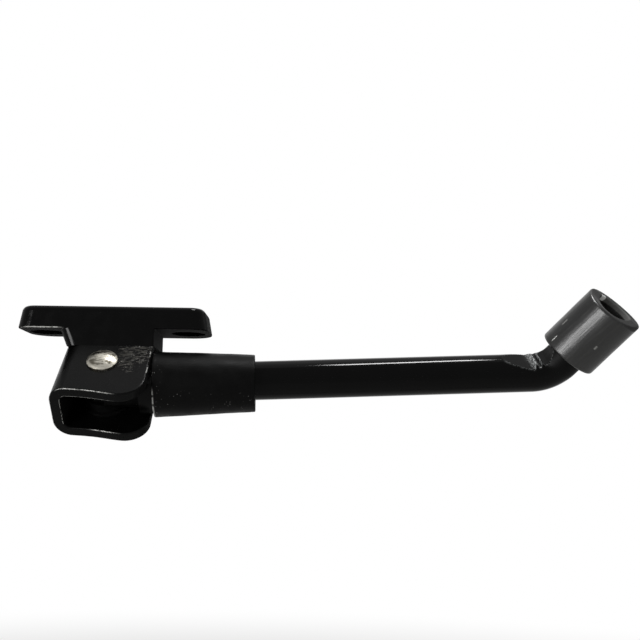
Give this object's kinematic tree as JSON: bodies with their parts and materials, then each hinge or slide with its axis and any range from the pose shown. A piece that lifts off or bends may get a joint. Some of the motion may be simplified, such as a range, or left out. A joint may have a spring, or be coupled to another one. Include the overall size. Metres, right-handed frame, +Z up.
{
  "type": "electric scooter kickstand",
  "caption": "Folding side stand for an electric scooter: bolt-on plate, slanted clevis, and a bent tube leg with a rubber sleeve and a rubber foot.",
  "frame": {"origin": "midway between the bolt holes, on the plate's top face", "axes": "+X along the deck and the folded leg, +Y in under the scooter, +Z up into the deck"},
  "size_m": [0.2549, 0.0528, 0.0652],
  "materials": {
    "plate_paint": "gloss black paint",
    "clevis_paint": "gloss black paint",
    "barrel_paint": "gloss black paint",
    "tube_paint": "gloss black paint",
    "rivet_zinc": "bright zinc plate",
    "bare_steel": "oiled steel",
    "spring_steel": "drawn wire",
    "washer_nylon": "plain nylon",
    "sleeve_rubber": "matt rubber",
    "foot_rubber": "satin moulded rubber"
  },
  "bodies": {
    "mount": {"mount_plate": "plate_paint", "clevis": "clevis_paint", "pivot_rivet": "rivet_zinc", "pivot_cam": "bare_steel", "thrust_washer_front": "washer_nylon", "thrust_washer_rear": "washer_nylon"},
    "leg": {"pivot_fork": "bare_steel", "leg_barrel": "barrel_paint", "detent_spring": "spring_steel", "spring_seat": "bare_steel", "leg_tube": "tube_paint", "rubber_sleeve": "sleeve_rubber", "rubber_foot": "foot_rubber"},
    "plunger": {"detent_plunger": "bare_steel"}
  },
  "joints": [
    {"name": "leg_fold", "type": "hinge", "parent": "mount", "child": "leg", "pos_m": [-0.0013, -0.01416, -0.03258], "axis": [0, 0.7071, -0.7071], "range_deg": [0, 100.2], "deforming": ["rubber_sleeve"]},
    {"name": "plunger_press", "type": "slide", "parent": "leg", "child": "plunger", "axis": [-0.9977, -0.0481, -0.0481], "range_m": [0, 0.0008], "stiffness_N_per_m": 2000}
  ]
}
